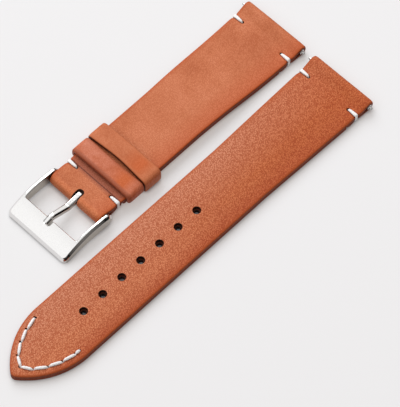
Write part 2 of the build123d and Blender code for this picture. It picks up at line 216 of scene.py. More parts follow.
class Path:
    """A side profile that a flat sheet of leather follows, with its grain on the right of travel."""

    def __init__(self, *runs):
        self.points = joined(*runs)
        steps = np.linalg.norm(np.diff(self.points, axis=0), axis=1)
        self.s = np.concatenate([[0], np.cumsum(steps)])
        self.length = self.s[-1]
        fine = np.linspace(0, self.length, int(self.length / 0.1) + 2)
        tangent = np.gradient(sampled(fine, self.s, self.points), fine, axis=0)
        for column in tangent.T:
            column[:] = np.convolve(np.pad(column, 2, mode="edge"), np.ones(5) / 5, mode="valid")
        tangent = unit(tangent)
        self.fine = fine
        self.normals = np.stack([tangent[:, 1], -tangent[:, 0]], axis=1)
        self.turn = np.linalg.norm(np.gradient(tangent, fine, axis=0), axis=1)

    def at(self, s):
        """Point and outward normal at the distances s."""
        return sampled(s, self.s, self.points), unit(sampled(s, self.fine, self.normals))

    def stations(self, coarse=1.0, finest=0.3, turn_per_step=0.22):
        """Distances along the path, closer where it bends."""
        places = [0.0]
        while places[-1] < self.length:
            bend = np.interp(places[-1] + finest, self.fine, self.turn)
            places.append(places[-1] + np.clip(turn_per_step / max(bend, 1e-3), finest, coarse))
        places[-1] = self.length
        return np.array(places)

    def where(self, x, upper):
        """Distance at which the upper or the lower run passes x."""
        normals_up = np.interp(self.s, self.fine, self.normals[:, 1]) > 0
        match = np.where(normals_up == upper)[0]
        nearest = match[np.argmin(np.abs(self.points[match, 0] - x))]
        return self.s[nearest]


# Closed loops in a flat pattern
def left_of(run):
    """The unit direction to the left of a run."""
    return np.array([-run[1], run[0]]) / np.linalg.norm(run)


def inset(loop, distance):
    """The loop moved to the left of its travel: into the leather."""
    ahead = np.roll(loop, -1, axis=0) - loop
    behind = loop - np.roll(loop, 1, axis=0)
    travel = unit(unit(ahead) + unit(behind))
    return loop + distance * np.stack([-travel[:, 1], travel[:, 0]], axis=1)


def clean(loop, spacing=0.04):
    """The loop without points that lie on each other."""
    kept = [loop[0]]
    for point in loop[1:]:
        if np.linalg.norm(point - kept[-1]) > spacing:
            kept.append(point)
    if np.linalg.norm(kept[0] - kept[-1]) < spacing:
        kept.pop()
    return np.array(kept)


def circle(centre, radius, count):
    """A round hole, travelled so that the leather is on its left."""
    return on_circle(centre, radius, np.linspace(0, -2 * pi, count, endpoint=False))


def distance_to_segment(start, end, points):
    """Distance of each point to a straight line between two places."""
    step = np.subtract(end, start)
    along = np.clip(((points - start) @ step) / (step @ step), 0, 1)
    return np.linalg.norm(points - start - along[:, None] * step, axis=1)


def distance_to(loop, points):
    """Distance of each point to a closed loop."""
    best = np.full(len(points), np.inf)
    for start, end in zip(loop, np.roll(loop, -1, axis=0)):
        best = np.minimum(best, distance_to_segment(start, end, points))
    return best


def inside(loop, points):
    """Whether each point is inside a closed loop."""
    result = np.zeros(len(points), bool)
    for (x1, y1), (x2, y2) in zip(loop, np.roll(loop, -1, axis=0)):
        if y1 == y2:
            continue
        crosses = (y1 > points[:, 1]) != (y2 > points[:, 1])
        at = x1 + (points[:, 1] - y1) * (x2 - x1) / (y2 - y1)
        result ^= crosses & (points[:, 0] < at)
    return result


def wander(points, seed, scale, amount):
    """A slow, repeatable wave of the surface."""
    total = np.zeros(len(points))
    generator = np.random.default_rng(seed)
    for octave in (1.0, 2.1, 4.3):
        direction = generator.normal(size=2)
        direction /= np.linalg.norm(direction)
        phase = generator.uniform(0, 2 * pi)
        total += np.sin((points @ direction) * octave / scale * 2 * pi + phase) / octave
    return amount * total


# How finely a sheet is divided, and the marks on it
edge_step = 0.3
grid_margin = 0.3
hole_margin = 0.12
stitch_margin = 0.85
stitch_rows = (-0.75, -0.45, -0.2, 0, 0.2, 0.45, 0.75)
stitch_step = 0.35
stitch_edge_margin = 0.15
stitch_point_gap = 0.16
ring_clearance = 1.3
groove_width = 0.42
dish_width = 0.5
dish_depth = 0.5
rim_start = 0.02
painted_hole_shade_width = 0.25
edge_burnish_and_shade_width = 0.6
swell_length = 31.0
paint_start = 0.25
paint_fade = 0.6


def fade(distance, width):
    """A share that is one at a mark and falls off round it."""
    return np.exp(-((distance / width) ** 2))


def edge_rings(loop, top, low):
    """Rings that round an edge, from the innermost on the grain side to the innermost on the flesh side.

    Each is (points, drop from its face, 1 for the grain side or -1 for the flesh side)."""
    turns = np.linspace(pi / 2, 0, 5)
    levels = [(top * ring_clearance, 0.0, 1)]
    for radius, side, angles in ((top, 1, turns), (low, -1, turns[::-1])):
        levels += [(radius * (1 - cos(turn)), radius * (1 - sin(turn)), side) for turn in angles]
    levels.append((low * ring_clearance, 0.0, -1))
    return [(inset(loop, distance), drop, side) for distance, drop, side in levels]


def inner_points(outline, bounds, path, stitches, spacing):
    """Points inside a pattern, at stations along the path and closer by the stitches.

    bounds are the innermost rings of the outline and of each hole."""
    half = np.abs(outline[:, 1]).max()
    across = np.linspace(-half, half, ceil(2 * half / spacing) + 1)
    grid = np.array([(station, y) for station in path.stations(spacing) for y in across])
    keep = inside(bounds[0], grid) & (distance_to(bounds[0], grid) > grid_margin)
    close = []
    for start, end, _ in stitches:
        keep &= distance_to_segment(start, end, grid) > stitch_margin
        run = np.subtract(end, start)
        for offset in stitch_rows:
            for share in np.linspace(0, 1, ceil(np.linalg.norm(run) / stitch_step) + 1):
                close.append(np.add(start, run * share) + left_of(run) * offset)
    grid = grid[keep]
    if close:
        close = np.array(close)
        close = close[inside(bounds[0], close) & (distance_to(bounds[0], close) > stitch_edge_margin)]
        chosen = [close[0]]
        for point in close[1:]:
            if np.min(np.linalg.norm(np.array(chosen) - point, axis=1)) > stitch_point_gap:
                chosen.append(point)
        grid = np.concatenate([grid, chosen])
    for bound in bounds[1:]:
        grid = grid[~inside(bound, grid) & (distance_to(bound, grid) > hole_margin)]
    return grid


def cut_pattern(bounds, grid):
    """Points and triangles of the flat pattern inside its innermost rings."""
    flat = np.concatenate(bounds + [grid])
    edges = []
    for bound in bounds:
        first = len(edges)
        edges += [(first + i, first + (i + 1) % len(bound)) for i in range(len(bound))]
    _, _, faces, origins, _, _ = delaunay_2d_cdt([Vector(point) for point in flat], edges, [], 0, 1e-5)
    triangles = np.array([[origins[i][0] for i in face] for face in faces if len(face) == 3])
    middles = flat[triangles].mean(axis=1)
    in_holes = np.any([inside(bound, middles) for bound in bounds[1:]], axis=0)
    return flat, triangles[inside(bounds[0], middles) & ~in_holes]


def ring_faces(before, after):
    """Faces between two rings of vertex numbers."""
    return list(zip(before, np.roll(before, -1), np.roll(after, -1), after))


def sheet_piece(
    node, look, body, outline, holes, path, thickness, place, seed, slot="tan_leather", stitches=(),
    grain_round=0.42, flesh_round=0.12, shoulder=1.5, shoulder_drop=0.16, spacing=1.0, waviness=0.02,
):
    """A sheet of leather cut to its pattern and laid along its path, with burnished edges that carry
    painted shade on their rounded shoulders.

    The pattern's first axis is the distance along the path, its second is across. Each hole is (loop,
    rounding of its rim). thickness gives the leather's thickness at a distance along it, and place turns
    path coordinates into the model's frame. Each stitch is (start, end, depth of its groove)."""
    outline = clean(outline)
    ahead = np.roll(outline, -1, axis=0)
    if np.sum(outline[:, 0] * ahead[:, 1]) < np.sum(outline[:, 1] * ahead[:, 0]):
        outline = outline[::-1]
    rings = [edge_rings(outline, grain_round, flesh_round)]
    rings += [edge_rings(hole, rounding, min(flesh_round, rounding)) for hole, rounding in holes]
    bounds = [ring[0][0] for ring in rings]
    flat, triangles = cut_pattern(bounds, inner_points(outline, bounds, path, stitches, spacing))

    # The grain side, the flesh side, and the rings between them
    flesh_flat = flat.copy()
    vertices = [flat, flesh_flat]
    drops = [np.zeros(2 * len(flat))]
    sides = [np.ones(len(flat)), -np.ones(len(flat))]
    faces = [*triangles, *(triangles[:, ::-1] + len(flat))]
    total = 2 * len(flat)
    start = 0
    for ring in rings:
        count = len(ring[0][0])
        before = np.arange(start, start + count)
        last = before + len(flat)
        flesh_flat[start:start + count] = ring[-1][0]
        for points, drop, side in ring[1:-1]:
            current = np.arange(total, total + count)
            vertices.append(points)
            drops.append(np.full(count, drop))
            sides.append(np.full(count, side))
            faces += ring_faces(before, current)
            before = current
            total += count
        faces += ring_faces(before, last)
        start += count
    pattern, drop, side = (np.concatenate(parts) for parts in (vertices, drops, sides))

    # Relief of the grain side, and the marks that the materials use, some of them painted shade
    from_edge = distance_to(outline, pattern)
    shoulder_share = np.clip(1 - from_edge / shoulder, 0, 1)
    grain = -shoulder_drop * shoulder_share**2 + wander(pattern, seed, swell_length, waviness)
    painted_hole_shade = np.zeros(len(pattern))
    for begin, finish, depth in stitches:
        grain -= depth * fade(distance_to_segment(begin, finish, pattern), groove_width)
    # Painted shade: the walls and rims of holes and slits are darkened nearly to black
    for hole, rounding in holes:
        near = distance_to(hole, pattern)
        grain -= dish_depth * rounding * fade(near, dish_width)
        painted_hole_shade = np.maximum(painted_hole_shade, fade(near, painted_hole_shade_width))

    points, normals = path.at(pattern[:, 0])
    height = np.where(side > 0, grain - drop, drop - thickness(pattern[:, 0]))
    name = f"{node}_skin"
    mesh = new_mesh(name, place(points + normals * height[:, None], pattern[:, 1]), faces)
    mesh.validate()
    painted = np.clip((drop - paint_start * grain_round) / (paint_fade * grain_round), 0, 1)
    wall = np.where(side < 0, 1.0, painted)
    # Burnish near the edges, partly painted shade; edge paint on cut walls; painted shade in holes
    marks = {
        "edge_burnish_and_shade": fade(from_edge, edge_burnish_and_shade_width),
        "cut_edge": wall,
        "painted_hole_shade": painted_hole_shade * np.maximum(wall, drop > rim_start),
    }
    for mark, values in marks.items():
        mesh.attributes.new(mark, "FLOAT", "POINT").data.foreach_set("value", values.astype(np.float32))
    dress(finished_object(name, mesh), look, slot, body, node)


def new_mesh(name, points, faces):
    """A mesh whose points are given in millimetres."""
    mesh = bpy.data.meshes.new(name)
    numbers = [tuple(int(i) for i in face) for face in faces]
    mesh.from_pydata((np.array(points) * METRE).tolist(), [], numbers)
    return mesh


def new_object(name, data):
    """An object that is in the scene."""
    made = bpy.data.objects.new(name, data)
    bpy.context.scene.collection.objects.link(made)
    return made


def finished_object(name, mesh):
    """An object with outward faces and smooth shading."""
    solid = bmesh.new()
    solid.from_mesh(mesh)
    bmesh.ops.recalc_face_normals(solid, faces=solid.faces)
    solid.to_mesh(mesh)
    solid.free()
    mesh.shade_smooth()
    piece = new_object(name, mesh)
    piece.modifiers.new("even normals", "WEIGHTED_NORMAL").keep_sharp = True
    return piece


def dress(piece, material, slot, body, *nodes):
    """Gives a piece its material and its body, and hides the nodes that it stands for; slot is not used.
    """
    piece.data.materials.append(material)
    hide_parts(*nodes)
    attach(piece, body)


def along_strap(centre_y):
    """Places a profile in the plane along the strap."""
    return lambda profile, across: np.stack([profile[:, 0], centre_y + across, profile[:, 1]], axis=1)


def across_strap(node):
    """Places a profile in the plane across the strap, in the middle of a construction node."""
    low, high = corners_mm(node)
    middle_x = (low[0] + high[0]) / 2
    return lambda profile, across: np.stack([middle_x + across, profile[:, 0], profile[:, 1]], axis=1)


def even(leather):
    """The same thickness all along a sheet."""
    return lambda s: np.full(np.shape(s), leather)


# Thread and wire
thread_sides = 15
thread_end_length = 0.5
thread_end_slimming = 0.45
thread_upright_slimming = 0.35
thread_lobe_depth = 0.20
off_axis = (0.31, 0.17, 0.93)


def smooth_run(points, step=0.12):
    """A rounded line through given points: a chain of Catmull-Rom spans."""
    points = np.array(points, float)
    padded = np.concatenate([[2 * points[0] - points[1]], points, [2 * points[-1] - points[-2]]])
    result = []
    for i in range(1, len(padded) - 2):
        before, start, end, after = padded[i - 1:i + 3]
        count = max(2, ceil(np.linalg.norm(end - start) / step))
        for share in np.linspace(0, 1, count, endpoint=False):
            linear = (end - before) * share
            square = (2 * before - 5 * start + 4 * end - after) * share**2
            cube = (3 * start - before - 3 * end + after) * share**3
            result.append(0.5 * (2 * start + linear + square + cube))
    result.append(points[-1])
    return np.array(result)


def thread_mesh(name, runs, radius, twisted=True):
    """A mesh of twisted thread or plain wire along each run."""
    vertices = []
    faces = []
    angles = 2 * pi * np.arange(thread_sides) / thread_sides
    for run in runs:
        tangents = np.gradient(run, axis=0)
        tangents /= np.linalg.norm(tangents, axis=1)[:, None]
        gone = np.concatenate([[0], np.cumsum(np.linalg.norm(np.diff(run, axis=0), axis=1))])
        side = np.cross(tangents[0], off_axis)
        before = None
        for centre, tangent, way in zip(run, tangents, gone):
            side = side - tangent * (side @ tangent)
            side /= np.linalg.norm(side)
            up = np.cross(tangent, side)
            reach = np.full(thread_sides, radius)
            if twisted:
                from_end = min(1.0, min(way, gone[-1] - way) / thread_end_length)
                slim = 1 - thread_end_slimming * (1 - from_end)
                slim *= 1 - thread_upright_slimming * abs(tangent[2])
                lobes = np.abs(np.cos(thread_lobes * (angles - 2 * pi * way / thread_lay) / 2))
                reach = radius * slim * (1 - thread_lobe_depth * (1 - np.sqrt(lobes)))
            ring = np.arange(len(vertices), len(vertices) + thread_sides)
            for angle, length in zip(angles, reach):
                vertices.append(centre + length * (cos(angle) * side + sin(angle) * up))
            faces += [ring[::-1]] if before is None else ring_faces(before, ring)
            before = ring
        faces.append(before)
    return new_mesh(name, vertices, faces)


def thread_piece(node, runs, body, radius=thread_radius):
    """One node's stitches."""
    name = f"{node}_thread"
    piece = finished_object(name, thread_mesh(name, runs, radius))
    dress(piece, thread_material, "white_thread", body, node)


# Materials
grain_direction = np.radians(45)
pebble_shape = (1.25, 0.75)
pebble_scale = 3.0
wrinkle_scale = 5.2
pebble_height = 0.12
pebble_weight = -0.8
fibre_scale = 9.0
smear_scale = 0.35
scratch_scale = 3.0
# Grain colours from its valleys to its pebble tops; the whitish tops are partly painted highlight
pebble_colours_and_glints = [(0.0, (0.71, 0.53, 0.44)), (0.2, (1.0, 1.0, 1.0)), (0.42, (1.18, 1.46, 1.68))]
cloud_stops = (0.36, 0.5, 0.64)


def feed(tree, node, inputs):
    """Gives a node's inputs their values, or links them where the value is a socket."""
    for key, value in inputs.items():
        if isinstance(value, bpy.types.NodeSocket):
            tree.links.new(value, node.inputs[key])
        else:
            node.inputs[key].default_value = value


def add_node(tree, kind, inputs, **properties):
    """A new node with its properties and its inputs set."""
    node = tree.nodes.new(f"ShaderNode{kind}")
    for key, value in properties.items():
        setattr(node, key, value)
    feed(tree, node, inputs)
    return node


def new_material(name):
    """A new material, its node tree and its surface shader."""
    material = bpy.data.materials.new(name)
    material.use_nodes = True
    return material, material.node_tree, material.node_tree.nodes["Principled BSDF"]


def grey(*stops):
    """Stops of a ramp between plain numbers."""
    return [(position, (value,) * 3) for position, value in stops]


def ramp(tree, source, stops):
    """The colours that a source's values turn into, through the given stops."""
    node = add_node(tree, "ValToRGB", {"Fac": source})
    elements = node.color_ramp.elements
    elements[0].position, elements[0].color = stops[0][0], (*stops[0][1], 1)
    elements[1].position, elements[1].color = stops[-1][0], (*stops[-1][1], 1)
    for position, colour in stops[1:-1]:
        elements.new(position).color = (*colour, 1)
    return node.outputs["Color"]


def texture(tree, kind, scale, inputs, drawn_out=(1.0, 1.0), **properties):
    """A texture's value in the object's own coordinates, in millimetres.

    drawn_out makes its pattern longer and narrower along the grain's direction."""
    size = (METRE * drawn_out[0], METRE * drawn_out[1], METRE)
    point = add_node(tree, "TexCoord", {}).outputs["Object"]
    mapping = {"Vector": point, "Rotation": (0.0, 0.0, grain_direction), "Scale": size}
    vector = add_node(tree, "Mapping", mapping, vector_type="TEXTURE").outputs["Vector"]
    return add_node(tree, kind, {"Vector": vector, "Scale": scale, **inputs}, **properties).outputs[0]


def mixed(tree, mode, factor, first, second):
    """A mix of two colours; each is a socket or a colour."""
    first, second = (
        value if isinstance(value, bpy.types.NodeSocket) else (*value, 1) for value in (first, second)
    )
    inputs = {0: factor, 6: first, 7: second}
    return add_node(tree, "Mix", inputs, data_type="RGBA", blend_type=mode).outputs[2]


def band(tree, axis, places):
    """A share along an axis that goes up between two places in millimetres, or up and down again."""
    point = add_node(tree, "TexCoord", {}).outputs["Object"]
    along = add_node(tree, "SeparateXYZ", {0: point}).outputs[axis]
    span = {"Value": along, "From Min": places[0] * METRE, "From Max": places[-1] * METRE}
    share = add_node(tree, "MapRange", span).outputs["Result"]
    steps = [(place - places[0]) / (places[-1] - places[0]) for place in places]
    levels = [0.0] + [1.0] * (len(places) - 2) + [0.0] if len(places) > 2 else [0.0, 1.0]
    return ramp(tree, share, grey(*zip(steps, levels)))


def bumped(tree, height, strength, distance):
    """A normal for a surface that a value raises by up to a distance in millimetres."""
    inputs = {"Height": height, "Strength": strength, "Distance": distance * METRE}
    return add_node(tree, "Bump", inputs).outputs["Normal"]


def leather(name, tans, edge, paint, gloss=0.5, mottle=0.1, pores=0.5, relief=0.3, tones=()):
    """Smooth waxed leather: cloudy colour, a fine pebbled grain with painted glints, burnished edges
    darkened partly as painted shade, and painted cut edges.

    tans are its dark, middle and light colour. Each tone is (axis, places, colour): a colour that the
    piece takes on in a band along that axis."""
    material, tree, surface = new_material(name)
    clouds = texture(tree, "TexNoise", mottle, {"Detail": 5.0, "Roughness": 0.6})
    colour = ramp(tree, clouds, list(zip(cloud_stops, tans)))
    for axis, places, tone in tones:
        colour = mixed(tree, "MIX", band(tree, axis, places), colour, tone)

    cell_inputs = {"Randomness": 1.0, "Smoothness": 0.25}
    cells = texture(tree, "TexVoronoi", pebble_scale, cell_inputs, pebble_shape, feature="SMOOTH_F1")
    wrinkle_inputs = {"Detail": 3.0, "Roughness": 0.6, "Distortion": 0.4}
    wrinkles = texture(tree, "TexNoise", wrinkle_scale, wrinkle_inputs, pebble_shape)
    heights = {0: cells, 1: pebble_weight, 2: wrinkles}
    pebble = add_node(tree, "Math", heights, operation="MULTIPLY_ADD").outputs["Value"]
    colour = mixed(tree, "MULTIPLY", pores, colour, ramp(tree, pebble, pebble_colours_and_glints))
    # Burnish that is partly painted shade at the edges, edge paint on cut walls, painted shade in holes
    for mark, tint in (("edge_burnish_and_shade", edge), ("cut_edge", paint), ("painted_hole_shade", hole_shade_brown)):
        share = add_node(tree, "Attribute", {}, attribute_name=mark).outputs["Fac"]
        colour = mixed(tree, "MIX", share, colour, tint)
    feed(tree, surface, {
        "Base Color": colour,
        "Normal": bumped(tree, pebble, relief, pebble_height),
        "Roughness": ramp(tree, pebble, grey((0.0, gloss + 0.14), (0.35, gloss - 0.03))),
        "Specular IOR Level": 0.22,
    })
    return material


def thread_look():
    """Waxed white thread with fine fibres."""
    material, tree, surface = new_material("waxed thread")
    fibres = texture(tree, "TexNoise", fibre_scale, {"Detail": 3.0, "Roughness": 0.6})
    feed(tree, surface, {
        "Base Color": ramp(tree, fibres, [(0.3, (0.80, 0.78, 0.77)), (0.6, (0.96, 0.95, 0.95))]),
        "Normal": bumped(tree, fibres, strength=0.4, distance=0.03),
        "Roughness": 0.6,
        "Sheen Weight": 0.25,
    })
    return material


def steel(name, colour, roughnesses, scratches, brushed_and_shaded=None):
    """Polished or drawn steel with faint handling marks.

    roughnesses are its lowest and highest. The last argument, if given, is the colour of its upright
    sides: a brushed finish that is darker also as painted shade of what they reflect."""
    material, tree, surface = new_material(name)
    smears = texture(tree, "TexNoise", smear_scale, {"Detail": 4.0, "Roughness": 0.6})
    roughness = ramp(tree, smears, grey((0.35, roughnesses[0]), (0.7, roughnesses[1])))
    marks = texture(tree, "TexNoise", scratch_scale, {"Detail": 2.0, "Roughness": 0.5})
    base = ramp(tree, marks, [(0.3, tuple(part * 0.96 for part in colour)), (0.7, colour)])
    # Upright sides: a brushed finish, made darker as painted shade of what they reflect
    if brushed_and_shaded:
        facing = add_node(tree, "TexCoord", {}).outputs["Normal"]
        sideways = add_node(tree, "SeparateXYZ", {0: facing}).outputs["Y"]
        upright = add_node(tree, "Math", {0: sideways}, operation="ABSOLUTE").outputs["Value"]
        level = ramp(tree, upright, grey((0.84, 0.0), (0.94, 1.0)))
        base = mixed(tree, "MIX", level, base, brushed_and_shaded)
        roughness = mixed(tree, "MIX", level, roughness, (0.3, 0.3, 0.3))
    feed(tree, surface, {
        "Base Color": base,
        "Roughness": roughness,
        "Normal": bumped(tree, marks, scratches, distance=0.01),
        "Metallic": 1.0,
    })
    return material


def beside(place, *steps):
    """Places at the given steps from one place."""
    return tuple(place + step for step in steps)


# Near-black painted shade inside the holes and slits
hole_shade_brown = (0.035, 0.011, 0.006)
# Edge burnish, darker and more orange partly as painted shade of the rounded shoulders
burnish_and_shade_orange = (0.46, 0.085, 0.018)
edge_paint = (0.19, 0.036, 0.011)
orange_glow = (0.58, 0.125, 0.032)
# Painted shade of the fixed keeper, on its front and on the strap in front of it
keeper_shade = (0.36, 0.10, 0.05)
# Thin line of painted shadow on the strap just in front of the fixed keeper
shadow_line_brown = (0.17, 0.04, 0.02)
# Lighter and pinker than the long piece's tans: partly the leather's own tone, partly painted sheen
soft_tans = [(0.515, 0.14, 0.051), (0.575, 0.17, 0.068), (0.62, 0.195, 0.086)]
keeper_front_x = fixed_low[0]
short_tan = leather(
    "tan leather of the short piece",
    soft_tans,
    edge=burnish_and_shade_orange,
    paint=edge_paint,
    pores=0.45,
    tones=[
        # Painted shade: darker and more saturated towards the near side, away from the light
        ("Y", beside(short_y, -3.0, -9.0), (0.555, 0.127, 0.042)),
        # Painted highlight: a lighter band along the front of the fold round the buckle's bar
        ("X", beside(fold_x, 0.1, 0.7, 1.1, 2.1), (0.73, 0.222, 0.092)),
        # Painted shadow of the fixed keeper on the strap in front of it
        ("X", beside(keeper_front_x, -2.9, -1.7, 1.0, 2.0), keeper_shade),
        # Painted shadow line on the strap just in front of the fixed keeper's front edge
        ("X", beside(keeper_front_x, -1.85, -1.7, -1.55, -1.4), shadow_line_brown),
    ],
)
long_tan = leather(
    "tan leather of the long piece",
    [(0.515, 0.121, 0.034), (0.55, 0.138, 0.041), (0.58, 0.155, 0.050)],
    edge=burnish_and_shade_orange,
    paint=edge_paint,
    pores=0.95,
    relief=0.9,
    tones=[
        ("X", (22.0, -12.0), (0.635, 0.197, 0.083)),
        # Painted sheen: lighter and pinker towards the far side, where the light glances off the leather
        ("Y", beside(long_y, -3.0, 7.0), (0.655, 0.232, 0.122)),
        # Painted shade: darker and more saturated towards the near side, away from the light
        ("Y", beside(long_y, -4.5, -9.0), (0.485, 0.096, 0.026)),
        ("X", (20.0, 70.0), (0.56, 0.128, 0.033)),
    ],
)
keeper_tan = leather(
    "tan leather of the fixed keeper",
    [(0.52, 0.13, 0.052), (0.58, 0.17, 0.087), (0.62, 0.205, 0.118)],
    edge=(0.36, 0.085, 0.035),
    paint=(0.32, 0.08, 0.04),
    mottle=0.24,
    pores=0.25,
    tones=[
        ("Y", beside(short_y, -1.5, -5.0, -6.5, -8.5), orange_glow),
        # Painted shade on the fixed keeper's front
        ("X", beside(keeper_front_x, 1.2, 0.5), keeper_shade),
    ],
)
loop_tan = leather(
    "tan leather of the sliding keeper",
    soft_tans,
    edge=(0.53, 0.15, 0.057),
    # Near-black cut edges: dark edge dye, and painted shade in the gap between the keepers
    paint=(0.10, 0.024, 0.010),
    mottle=0.16,
    pores=0.25,
    tones=[("Y", beside(short_y, -0.5, -5.0, -6.0, -8.5), orange_glow)],
)
lining_look = leather(
    "lining leather",
    [(0.49, 0.25, 0.125), (0.56, 0.31, 0.165), (0.62, 0.36, 0.20)],
    edge=(0.42, 0.18, 0.08),
    paint=(0.20, 0.035, 0.012),
    gloss=0.6,
)
thread_material = thread_look()
# Upright sides of the buckle: brushed, and darker as painted shade of their reflection
brushed_and_shaded_grey = (0.46, 0.43, 0.39)
polished_steel = steel("polished steel", (0.82, 0.81, 0.80), (0.05, 0.09), 0.05, brushed_and_shaded=brushed_and_shaded_grey)
bar_steel = steel("turned steel", (0.62, 0.61, 0.60), (0.22, 0.32), 0.15)
spring_steel = steel("spring wire", (0.45, 0.45, 0.46), (0.25, 0.35), 0.1)


# Plan of both pieces
tip_centre_x = tip_x + tip_round
ogive_drop = ogive_radius - tail_width / 2
ogive_x = tip_centre_x + sqrt((ogive_radius - tip_round) ** 2 - ogive_drop**2)
tip_tangent = np.degrees(asin(ogive_drop / (ogive_radius - tip_round)))


def tack_pull(x, tack_x):
    """How far a tack draws the edge in."""
    return tack_draw * fade(x - tack_x, tack_draw_length)


def long_half_width(x):
    """Half the long piece's width."""
    return np.interp(x, [taper_x, nose_x], [tail_width / 2, lug_width / 2]) - tack_pull(x, lug_tack_x)


def plain_half_width(x):
    """Half the short piece's width, before its tacks draw the edges in."""
    places = [fold_x, fold_x + fold_taper_length, taper_x, nose_x]
    widths = [fold_width / 2, tail_width / 2, tail_width / 2, lug_width / 2]
    return np.interp(x, places, widths)


def short_half_width(x):
    """Half the short piece's width."""
    return plain_half_width(x) - tack_pull(x, lug_tack_x) - tack_pull(x, fold_tack_x)


def end_cut(s, half, way, rounding=flap_round):
    """The square end of a flap from one side to the other, with its corners rounded."""
    centre_s = s + way * rounding
    centre_y = -way * (half - rounding)
    turn = 270 if way > 0 else 90
    first = arc((centre_s, centre_y), rounding, turn, turn - 90)
    return joined(first, arc((centre_s, -centre_y), rounding, turn - 90, turn - 180))


def long_edges(path, half_width, s_from, s_to):
    """Both long edges of a pattern: one going out and one coming back."""
    s = np.arange(s_from, s_to, edge_step)
    half = half_width(path.at(s)[0][:, 0])
    return np.stack([s, half], axis=1), np.stack([s, -half], axis=1)[::-1]


# Long piece
lug_turn = joined(
    line((lug_flap_x, 0), (lug_bar[0], 0)),
    arc(lug_bar, lug_nose, -90, 90),
    wave((lug_bar[0], 2 * lug_nose), (lug_rise_x, strap_thickness)),
)
long_path = Path(lug_turn, line((lug_rise_x, strap_thickness), (tip_x, strap_thickness)))


def long_s(x):
    """Distance along the long piece's top at x."""
    return long_path.length - (x - tip_x)


def distance_from(start_x):
    """Distance at x along a level sheet that starts at start_x."""
    return lambda x: x - start_x


def tip_outline(to_s):
    """The pointed end of the long piece, from one side to the other."""
    plan = joined(
        arc((ogive_x, -ogive_drop), ogive_radius, 90, 180 - tip_tangent, edge_step),
        arc((tip_centre_x, 0), tip_round, 180 - tip_tangent, 180 + tip_tangent),
        arc((ogive_x, ogive_drop), ogive_radius, 180 + tip_tangent, 270, edge_step),
    )
    return np.stack([to_s(plan[:, 0]), plan[:, 1]], axis=1)


# Thickness of the outer leather from its flap round the watch end's bar
lug_bar_s = lug_bar[0] - lug_flap_x
lug_crest_s = lug_bar_s + pi * lug_nose
lug_places = [0, lug_bar_s - lug_skive_length, lug_bar_s, lug_crest_s, lug_crest_s + lug_rise_length]
lug_leathers = [glued_leather] * 2 + [lug_skived_leather] * 2 + [outer_leather]


def long_outer_thickness(s):
    """Skived round the bar and full along the strap."""
    return np.interp(s, lug_places, lug_leathers)


# Stitches, first as lines in the plan
def tip_holes():
    """The awl holes of the pointed row, from one side round the tip to the other."""
    row_radius = ogive_radius - tip_stitch_inset
    half_row = pi / 2 - asin(ogive_drop / row_radius)
    turns = half_row - np.arange(1, tip_stitches_per_side + 1) * tip_stitch_pitch / row_radius
    side = list(zip(ogive_x - row_radius * np.sin(turns), row_radius * np.cos(turns) - ogive_drop))
    return side[::-1] + [(tip_x + tip_stitch_end, 0.0)] + [(x, -y) for x, y in side]


tip_places = tip_holes()
end_place = tuple(np.add(tip_places[-1], tip_last_stitch))
tip_lines = list(zip(tip_places, tip_places[1:])) + [(tip_places[-1], end_place)]
tongue_holes = [tip_x + first_hole_from_tip + step * hole_pitch for step in range(hole_count)]


def tack_holes(tack_x):
    """The hole of each of two tacks."""
    return [(tack_x, side * (plain_half_width(tack_x) - tack_reach)) for side in (1, -1)]


def tack_lines(tack_x):
    """The fanned stitches of two tacks: (hole, edge) in the plan."""
    half = plain_half_width(tack_x)
    holes = zip(tack_holes(tack_x), (1, -1))
    return [(hole, (tack_x + fan * tack_fan, side * half)) for hole, side in holes for fan in (1, 0, -1)]


lug_tacks = tack_lines(lug_tack_x)
fold_tacks = tack_lines(fold_tack_x)


def on_pattern(lines, to_s, depth=grain_groove):
    """Stitch lines of the plan in a pattern's coordinates, with the depth of their groove."""
    return [((to_s(start[0]), start[1]), (to_s(end[0]), end[1]), depth) for start, end in lines]


def slit(centre, slant):
    """The slanted cut of a pricking iron, travelled like a round hole."""
    half = slit_width / 2
    reach = slit_length / 2 - half
    along = np.array([cos(slant), sin(slant)])
    loop = joined(arc((reach, 0), half, -90, 90, 0.1), arc((-reach, 0), half, 90, 270, 0.1))
    loop = np.array(centre) + loop[:, :1] * along + loop[:, 1:] * left_of(along)
    return clean(loop)[::-1]


def tip_cuts(to_s, mirrored=1):
    """The cuts that the row at the tip goes through."""
    cuts = [(slit((to_s(x), y + slit_shift), mirrored * slit_slant), cut_rim) for x, y in tip_places]
    return cuts + [(circle((to_s(end_place[0]), end_place[1]), fine_awl_radius, awl_points), cut_rim)]


def awl_holes(tack_x, to_s):
    """The round holes of two tacks."""
    return [(circle((to_s(x), y), awl_radius, awl_points), cut_rim) for x, y in tack_holes(tack_x)]


long_flap_s = distance_from(lug_tack_x - long_path.where(lug_tack_x, False))
edges = long_edges(long_path, long_half_width, flap_corner, long_s(ogive_x))
lug_cut = end_cut(0, long_half_width(lug_flap_x), 1)
sheet_piece(
    "long_outer_leather", long_tan, "long_strap",
    joined(lug_cut, edges[0], tip_outline(long_s), edges[1]),
    [(circle((long_s(x), 0), hole_radius, hole_points), hole_rim) for x in tongue_holes]
    + tip_cuts(long_s)
    + awl_holes(lug_tack_x, long_s)
    + awl_holes(lug_tack_x, long_flap_s),
    long_path,
    long_outer_thickness,
    along_strap(long_y),
    seed=3,
    stitches=on_pattern(tip_lines, long_s)
    + on_pattern(lug_tacks, long_s)
    + on_pattern(lug_tacks, long_flap_s, under_groove),
)

